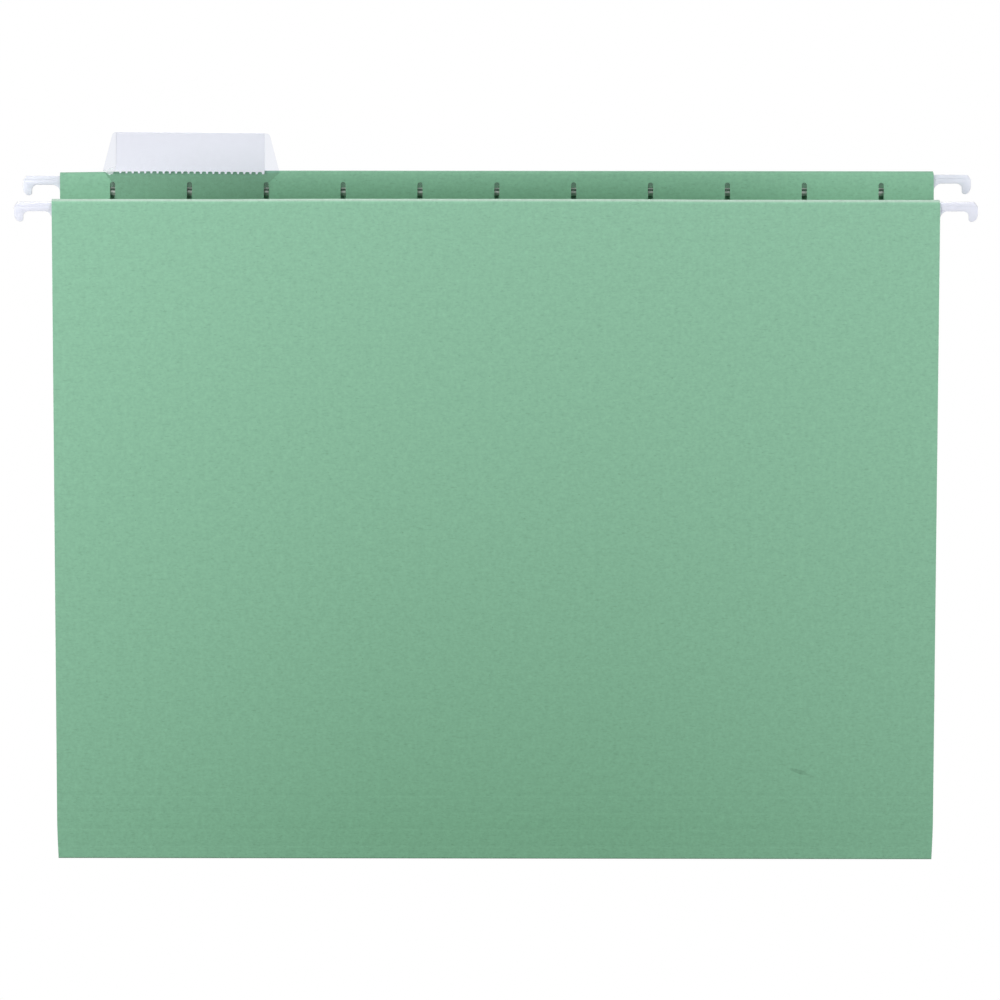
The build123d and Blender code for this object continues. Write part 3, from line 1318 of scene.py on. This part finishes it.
@dataclass
class HookTips:
    """The four moulded tips that grip the rods' ends and hang on the rails."""

    stand: FolderFrame
    material: Material
    reach: float = 12.7 * MM
    inset: float = 12.0 * MM
    thickness: float = 1.5 * MM
    face_step: float = 0.15 * MM
    arm_drop: float = 1.45 * MM
    arm_height: float = 3.0 * MM
    arm_ledge: float = 1.3 * MM
    brow_lap: float = 0.03 * MM
    notch_depth: float = 3.63 * MM
    beak_width: float = 3.1 * MM
    beak_fillet: float = 1.8 * MM
    beak_tip: float = 2.9 * MM
    beak_toe: float = 0.9 * MM
    toe_width: float = 1.05 * MM
    tip_sweep: float = 80.0
    tip_chords: int = 9
    toe_chords: int = 6
    chamfer_x: float = 1.2 * MM
    chamfer_v: float = 1.7 * MM
    root_radius: float = 2.7 * MM
    socket_length: float = 9.0 * MM
    socket_height: float = 4.6 * MM
    socket_width: float = 0.5 * MM
    socket_mouth: float = 1.0 * MM
    rounding: float = 0.12 * MM
    lifts: dict = field(
        default_factory=lambda: {
            (Half.REAR, End.LEFT): -0.5 * MM,
            (Half.REAR, End.RIGHT): 0.26 * MM,
            (Half.FRONT, End.LEFT): 0.35 * MM,
            (Half.FRONT, End.RIGHT): 0.62 * MM,
        }
    )

    @property
    def top(self) -> float:
        """How far up the panel the arm's top is."""
        return self.stand.crest - self.arm_drop

    @property
    def heel(self) -> float:
        """Where the right-hand tip starts inside the sleeve."""
        return self.stand.half_width - self.inset

    @property
    def end(self) -> float:
        """Where the right-hand tip ends."""
        return self.stand.half_width + self.reach

    def outline(self) -> list[Pair]:
        """Draws the right-hand tip from its heel round to the notch.

        Returns:
            The points (x, v).
        """
        ceiling = self.top - self.arm_height
        low = ceiling - self.notch_depth
        edge = self.stand.half_width
        beak = self.end - self.beak_width
        toe = beak + self.toe_width
        shape = Outline((self.heel, low), (self.heel, self.top))
        shape.add((self.end - self.chamfer_x, self.top), (self.end, self.top - self.chamfer_v))
        wide = self.end - toe
        shape.arc((toe, low + self.beak_tip), wide, 0, -self.tip_sweep, self.tip_chords, self.beak_tip)
        shape.arc((toe, low + self.beak_toe), self.toe_width, -90, -180, self.toe_chords, self.beak_toe)
        shape.arc((beak - self.beak_fillet, ceiling - self.beak_fillet), self.beak_fillet, 0, 90)
        shape.arc((edge + self.root_radius, ceiling - self.root_radius), self.root_radius, 90, 180)
        shape.add((edge, low))
        return shape.points

    def brow(self) -> list[Pair]:
        """Draws the thicker rail along the right-hand tip's top.

        Returns:
            The points (x, v).
        """
        ledge, lap = self.top - self.arm_ledge, self.top + self.brow_lap
        heel, bend = self.heel - self.brow_lap, self.end - self.chamfer_x
        slope = self.chamfer_x * self.arm_ledge / self.chamfer_v
        return [(heel, ledge), (heel, lap), (bend, lap), (bend + slope + self.brow_lap, ledge)]

    def tip(self, half: Half, end: End) -> Piece:
        """Makes one tip.

        Args:
            half: the half that carries it.
            end: the end of the rod.

        Returns:
            The finished tip.
        """
        node = f"{half.label}_{end.name.lower()}_hook"
        place = self.stand.sleeve(half, end.value, self.lifts[half, end])
        side = self.thickness / 2
        web = side - self.face_step
        piece = plate(f"{node}_tip", self.outline(), -web, web, place)
        brow = plate("brow", self.brow(), -side, side, place)
        for part in (piece, brow):
            round_edges(part, self.rounding)
        join(piece, brow, "UNION")
        middle = self.top - (self.arm_height + self.notch_depth) / 2
        tall, room = self.socket_height / 2, self.socket_width / 2
        hole = rectangle(
            self.heel - self.socket_mouth, self.heel + self.socket_length, middle - tall, middle + tall
        )
        join(piece, plate("core", hole, -room, room, place), "DIFFERENCE")
        shade(piece, self.material)
        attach(piece, half.body)
        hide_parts(node)
        return piece

    def build(self) -> list[Piece]:
        """Makes the four tips."""
        return [self.tip(half, end) for half in Half for end in End]


@dataclass
class IndexTab:
    """The clear index tab: a sheet folded over at the top, with wings, a skirt and two feet in the slots."""

    stand: FolderFrame
    films: tuple[Material, ...]
    middle: float
    slot_pitch: float
    sheet: float = 0.2 * MM
    flap_gap: float = 0.25 * MM
    channel: float = 0.4 * MM
    front_half: float = 25.4 * MM
    rise: float = 13.25 * MM
    fold_chords: int = 8
    top_margin: float = 1.6 * MM
    top_radius: float = 1.2 * MM
    top_chords: int = 5
    side_angle: float = 15.0
    tilt: float = math.radians(0.42)
    wing_half: float = 30.2 * MM
    wing_drop: float = 0.4 * MM
    wing_shift: float = 0.3 * MM
    neck_drop: float = 4.2 * MM
    front_drop: float = 1.4 * MM
    flare: float = 0.9 * MM
    flare_rise: float = 1.2 * MM
    ear_reach: float = 4.6 * MM
    ear_toe: float = 2.1 * MM
    ear_drop: float = 0.35 * MM
    foot_height: float = 3.0 * MM
    foot_width: float = 0.8 * MM
    foot_drop: float = 15.5 * MM
    barb_reach: float = 2.2 * MM
    barb_thickness: float = 0.3 * MM
    barb_gap: float = 0.3 * MM
    rounding: float = 0.07 * MM

    @property
    def back_leaf(self) -> float:
        """The depth of the back leaf's middle plane."""
        return self.stand.flap_depth - self.stand.paper / 2 - self.flap_gap - self.sheet / 2

    @property
    def front_leaf(self) -> float:
        """The depth of the front leaf's middle plane."""
        return self.back_leaf - self.sheet - self.channel

    @property
    def fold(self) -> float:
        """The radius of the top fold at the middle of the sheet."""
        return (self.channel + self.sheet) / 2

    @property
    def straight_top(self) -> float:
        """How far up the panel the leaves reach before the fold."""
        return self.stand.crest + self.rise - self.sheet / 2 - self.fold

    def place(self, x: float, v: float, n: float) -> Vector:
        """Puts a point of the tilted tab in the shared frame, with x from the tab's middle."""
        return self.stand.place(Half.REAR, self.middle + x, v - x * math.tan(self.tilt), n)

    def turn(self) -> Triple:
        """The rotation that lays a flat XY outline on the tilted tab, with Y up the panel."""
        lean = Matrix.Rotation(self.stand.turn(Half.REAR)[0], 3, "X")
        return tuple((lean @ Matrix.Rotation(-self.tilt, 3, "Z")).to_euler())

    def front_levels(self) -> list[Triple]:
        """Lists the levels of the front leaf and the top fold from the lower edge up and over.

        Returns:
            For each level, half its width, how far up the panel it is and its depth.
        """
        crest, top, leaf = self.stand.crest, self.straight_top, self.front_leaf
        wide = self.front_half + self.flare
        levels = [(wide, crest - self.front_drop, leaf), (wide, crest, leaf)]
        levels += [(self.front_half, crest + self.flare_rise, leaf), (self.front_half, top, leaf)]
        for number in range(1, self.fold_chords + 1):
            angle = math.pi * number / self.fold_chords
            depth = leaf + self.fold * (1 - math.cos(angle))
            levels.append((self.front_half, top + self.fold * math.sin(angle), depth))
        return levels

    def leaves(self) -> Piece:
        """Makes the folded sheet: front leaf with a bent corner, top fold, back leaf with wings and skirt.

        Returns:
            The sheet, whose faces name their film by number.
        """
        crest, top = self.stand.crest, self.straight_top
        neck_top = crest - self.neck_drop
        neck = self.slot_pitch + self.foot_width / 2
        # Faces are numbered in this order until the sheet has its thickness. The rim along a face then
        # has a number that is higher by the rim step, which stands for the cut edge.
        rim_step = 2
        order = (Film.FRONT, Film.BACK, Film.EDGE, Film.EDGE, Film.SKIRT, Film.WHITENED, Film.EDGE, Film.EDGE)
        build = bmesh.new()

        def corner(x: float, v: float, n: float) -> bmesh.types.BMVert:
            """Adds a corner of the sheet."""
            return build.verts.new(self.place(x, v, n))

        rows = [[corner(end * half, v, n) for end in (-1, 1)] for half, v, n in self.front_levels()]
        for lower, upper in zip(rows, rows[1:]):
            build.faces.new((lower[0], lower[1], upper[1], upper[0]))
        ear = ((self.ear_reach, crest - self.sheet), (self.ear_toe, crest - self.front_drop - self.ear_drop))
        bent = [corner(-self.front_half - x, v, self.front_leaf) for x, v in ear]
        # The bent left corner gets a pale film: a painted highlight where light glares on it.
        highlighted_corner = build.faces.new((rows[0][0], rows[1][0], rows[2][0], *bent))
        highlighted_corner.material_index = order.index(Film.WHITENED)
        right = Outline()
        shoulder = self.front_half + self.top_margin - self.top_radius
        right.arc((shoulder, top - self.top_radius), self.top_radius, 90, self.side_angle, self.top_chords)
        right.add((self.wing_half, crest - self.wing_drop), (neck, neck_top), (neck, crest - self.foot_drop))
        border = []
        for side, points in ((1, right.points), (-1, reversed(right.points))):
            for x, v in points:
                shift = self.wing_shift if v > neck_top else 0.0
                border.append(corner(side * x + shift, v, self.back_leaf))
        wing = len(right.points) - 2
        winged = build.faces.new([rows[-1][1], *border[:wing], *border[-wing:], rows[-1][0]])
        winged.material_index = order.index(Film.BACK)
        skirt = build.faces.new(border[wing - 1 : 1 - wing])
        skirt.material_index = order.index(Film.SKIRT)
        mesh = face_outwards(build, bpy.data.meshes.new("index_tab"))
        for film in order:
            mesh.materials.append(self.films[film])
        piece = new_piece("index_tab", mesh)
        wall = piece.modifiers.new("sheet", "SOLIDIFY")
        wall.thickness = self.sheet
        wall.offset = 0
        wall.use_even_offset = True
        wall.material_offset_rim = rim_step
        bake(piece)
        for face in piece.data.polygons:
            face.material_index = order[face.material_index]
        return piece

    def foot(self, end: End) -> Piece:
        """Makes a foot that passes through its slot and hooks behind the flap.

        Args:
            end: the end of the tab.

        Returns:
            The foot.
        """
        low = self.stand.crest - self.foot_drop
        high = low + self.foot_height
        third = self.foot_height / 3
        side, half = end.value * self.slot_pitch, self.foot_width / 2
        barb = self.stand.flap_depth + self.stand.paper / 2 + self.barb_gap
        back = barb + self.barb_thickness
        stem = rectangle(side - half, side + half, low, high)
        piece = plate("foot", stem, self.back_leaf, back, self.place)
        near, far = side - end.value * half, side + end.value * self.barb_reach
        bend = far - end.value * self.barb_reach / 3
        tongue = [(near, low), (bend, low), (far, low + third)]
        tongue += [(far, high - third), (bend, high), (near, high)]
        join(piece, plate("barb", tongue, barb, back, self.place), "UNION")
        return piece

    def build(self) -> Piece:
        """Makes the tab as one clear piece.

        Returns:
            The finished tab.
        """
        piece = self.leaves()
        for end in End:
            join(piece, self.foot(end), "UNION")
        round_edges(piece, self.rounding, material=Film.EDGE)
        shade(piece, *self.films)
        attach(piece, "tab")
        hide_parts("tab")
        return piece


@dataclass
class TabInsert:
    """The paper insert in the tab's channel, with the torn perforation along its lower edge."""

    tab: IndexTab
    material: Material
    width: float = 50.8 * MM
    thickness: float = 0.2 * MM
    drop: float = 1.08 * MM
    top_gap: float = 0.4 * MM
    tooth_count: int = 24
    nick_width: float = 1.5 * MM
    nick_height: float = 0.75 * MM
    nick_shift: float = -0.55 * MM
    nick_round: float = 0.3
    corner: float = 0.3 * MM

    def build(self) -> Piece:
        """Makes the insert and nicks its lower edge.

        Returns:
            The finished insert.
        """
        tab = self.tab
        low = tab.stand.crest - self.drop
        high = tab.straight_top + tab.fold - tab.sheet / 2 - self.top_gap
        values = {
            "Width": self.width,
            "Height": high - low,
            "Thickness": self.thickness,
            "Corner": self.corner,
            "Nick Width": self.nick_width,
            "Nick Height": self.nick_height,
            "Nick Pitch": self.width / self.tooth_count,
            "Nick Shift": self.nick_shift,
            "Nick Count": self.tooth_count,
            "Place": tab.place(0, (low + high) / 2, (tab.back_leaf + tab.front_leaf) / 2),
            "Turn": tab.turn(),
            "Material": self.material,
        }
        shape = NodeShape("perforated_insert", values)
        inputs = shape.inputs
        card = shape.prism(inputs["Width"], inputs["Height"], inputs["Thickness"], inputs["Corner"])
        # A nick's cutter reaches as far below the edge as above it, and well past both faces.
        tall, deep = shape.times(inputs["Nick Height"], 2.0), shape.times(inputs["Thickness"], 3.0)
        rounding = shape.times(inputs["Nick Width"], self.nick_round)
        nick = shape.prism(inputs["Nick Width"], tall, deep, rounding)
        nicks = shape.row(nick, inputs["Nick Count"], inputs["Nick Pitch"])
        edge = {"X": inputs["Nick Shift"], "Y": shape.times(inputs["Height"], -0.5)}
        lowered = shape.move(nicks, shape.add("ShaderNodeCombineXYZ", edge))
        piece = new_piece("insert_card", bpy.data.meshes.new("insert_card"))
        shape.run(shape.move(shape.cut(card, [lowered]), inputs["Place"], inputs["Turn"]), piece)
        shade(piece, self.material)
        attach(piece, "insert")
        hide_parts("tab_insert")
        return piece


@dataclass(frozen=True)
class Softbox:
    """A rectangular studio light."""

    name: str
    place: Triple
    aim: Triple
    width: float
    height: float
    power: float

    def build(self) -> None:
        """Makes the light and points it, out of the camera's sight."""
        lamp = bpy.data.lights.new(self.name, "AREA")
        lamp.shape = "RECTANGLE"
        lamp.size = self.width
        lamp.size_y = self.height
        lamp.energy = self.power
        light = bpy.data.objects.new(self.name, lamp)
        light.location = self.place
        away = Vector(self.aim) - Vector(self.place)
        light.rotation_euler = away.to_track_quat("-Z", "Y").to_euler()
        light.visible_camera = False
        bpy.context.scene.collection.objects.link(light)


@dataclass
class Studio:
    """A white studio: pale floor, soft lights and the camera of the photograph."""

    floor_height: float = -0.42
    floor_size: float = 24.0
    fill: float = 0.14
    bounce: float = 0.2
    elevation: float = 9.937
    azimuth: float = -0.261
    roll: float = 0.028
    distance: float = 3.9114
    aim: Triple = (1.279 * MM, 0.0, -103.911 * MM)
    focal_pixels: float = 11490.9
    image_pixels: float = 1000.0
    sensor: float = 36.0
    lights: tuple[Softbox, ...] = (
        Softbox("left_softbox", (-0.62, -0.64, 0.083), (0, 0, -0.05), 0.4, 0.36, 6.0),
        Softbox("right_softbox", (0.67, -0.55, 0.035), (0, 0, -0.05), 0.4, 0.36, 4.2),
        Softbox("top_softbox", (0.0, -0.1, 0.8), (0, 0, 0), 0.9, 0.3, 2.0),
        Softbox("rear_softbox", (0.0, 0.7, 0.6), (0, 0, 0), 0.9, 0.4, 6.0),
    )

    def white_for_eye(self, tree: bpy.types.NodeTree) -> Socket:
        """Adds the share of light that goes straight, or through clear plastic, to the eye.

        Args:
            tree: the tree of the floor or the surround.

        Returns:
            The share, zero or one.
        """
        path = add_node(tree, "ShaderNodeLightPath").outputs
        inputs = {0: path["Is Camera Ray"], 1: path["Is Transmission Ray"]}
        return add_node(tree, "ShaderNodeMath", inputs, operation="MAXIMUM").outputs[0]

    def floor(self) -> None:
        """Makes the plain white floor, far below the folder as it hangs."""
        half = self.floor_size / 2
        mesh = bpy.data.meshes.new("studio_floor")
        corners = [(x, y, self.floor_height) for x, y in rectangle(-half, half, -half, half)]
        mesh.from_pydata(corners, [], [(0, 1, 2, 3)])
        material = bpy.data.materials.new("white_studio_paper")
        material.use_nodes = True
        tree = material.node_tree
        tree.nodes.clear()
        paper = add_node(tree, "ShaderNodeBsdfDiffuse", {"Color": (self.bounce, self.bounce, self.bounce, 1)})
        lit = add_node(tree, "ShaderNodeEmission", {"Color": WHITE})
        inputs = {0: self.white_for_eye(tree), 1: paper.outputs[0], 2: lit.outputs[0]}
        mix = add_node(tree, "ShaderNodeMixShader", inputs)
        add_node(tree, "ShaderNodeOutputMaterial", {"Surface": mix.outputs[0]})
        mesh.materials.append(material)
        piece = new_piece("studio_floor", mesh)
        piece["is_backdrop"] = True

    def surround(self) -> None:
        """Makes the white surround, which also gives the soft fill light."""
        world = bpy.data.worlds.new("studio_surround")
        world.use_nodes = True
        tree = world.node_tree
        tree.nodes.clear()
        ends = {"Value": self.white_for_eye(tree), "To Min": self.fill, "To Max": 1.0}
        strength = add_node(tree, "ShaderNodeMapRange", ends)
        inputs = {"Color": WHITE, "Strength": strength.outputs[0]}
        light = add_node(tree, "ShaderNodeBackground", inputs)
        add_node(tree, "ShaderNodeOutputWorld", {"Surface": light.outputs[0]})
        bpy.context.scene.world = world

    def camera(self) -> None:
        """Makes the camera at the photograph's viewing angle."""
        lens = bpy.data.cameras.new("camera")
        lens.sensor_width = self.sensor
        lens.lens = self.focal_pixels * self.sensor / self.image_pixels
        rise, turn, tilt = (math.radians(angle) for angle in (self.elevation, self.azimuth, self.roll))
        forward = Vector((math.sin(turn) * math.cos(rise), math.cos(turn) * math.cos(rise), -math.sin(rise)))
        level = Vector((math.cos(turn), -math.sin(turn), 0))
        upright = level.cross(forward)
        right = level * math.cos(tilt) + upright * math.sin(tilt)
        up = upright * math.cos(tilt) - level * math.sin(tilt)
        columns = Matrix((right, up, -forward)).transposed()
        camera = bpy.data.objects.new("camera", lens)
        eye = Vector(self.aim) - forward * self.distance
        camera.matrix_world = Matrix.Translation(eye) @ columns.to_4x4()
        bpy.context.scene.collection.objects.link(camera)
        bpy.context.scene.camera = camera

    def build(self) -> None:
        """Sets up the floor, the surround, the lights and the camera."""
        self.floor()
        self.surround()
        for light in self.lights:
            light.build()
        self.camera()
        bpy.context.scene.view_settings.view_transform = "Standard"


def dress_carried(nodes: tuple[str, ...], material: Material) -> None:
    """Gives carried-over nodes their material.

    Args:
        nodes: the nodes' names.
        material: what they are made of.
    """
    for name in nodes:
        mesh = frame["nodes"][name].data
        mesh.materials.clear()
        mesh.materials.append(material)
        LOG.info("%s: carried over in %s", name, material.name)


def report(piece: Piece) -> None:
    """Logs a finished piece."""
    LOG.info("%s: %d faces in %s", piece.name, len(piece.data.polygons), piece.data.materials[0].name)


def main() -> None:
    """Builds the folder's pieces and the studio."""
    logging.basicConfig(level=logging.INFO, format="%(name)s %(message)s")
    stand = FolderFrame.from_pack()
    card = CardBody(stand, DyedCard(stand.fold_run, stand.half_width).material())
    report(card.build())
    # The groove's lips and lower edge: a rougher steel, lighter in colour to paint highlight lines.
    rubbed = RolledSteel("rubbed_steel", "D6DAD6", 0.55)
    for piece in Rods(stand, RolledSteel().material(), rubbed.material()).build():
        report(piece)
    for piece in HookTips(stand, MouldedPolypropylene().material()).build():
        report(piece)
    low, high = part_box("tab_insert")
    middle = (low.x + high.x) / 2
    films = {
        Film.FRONT: ClearVinyl(),
        Film.BACK: ClearVinyl("clear_vinyl_back", "F7F8FB"),
        Film.EDGE: VinylEdge(),
        # The skirt's grey tint is darker than the film's own: partly the film, partly a painted shadow of the
        # tab on the flap behind.
        Film.SKIRT: ClearVinyl("clear_vinyl_skirt", "F7F7F7"),
        # Pale film on the front leaf's bent corner: a painted highlight.
        Film.WHITENED: VinylEdge("whitened_vinyl", cover=0.3),
    }
    tab = IndexTab(stand, tuple(films[film].material() for film in Film), middle, card.slot_pitch)
    report(tab.build())
    foot = stand.place(Half.REAR, middle, stand.crest, 0).z
    report(TabInsert(tab, InsertBond(foot=foot).material()).build())
    dress_carried(("rear_glue_line", "front_glue_line"), HotMeltGlue().material())
    Studio().build()
    boxes = {"cad": CAD_BOX, "visual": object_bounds()}
    {name: [list(corner) for corner in box] for name, box in boxes.items()}


if __name__ == "__main__":
    main()
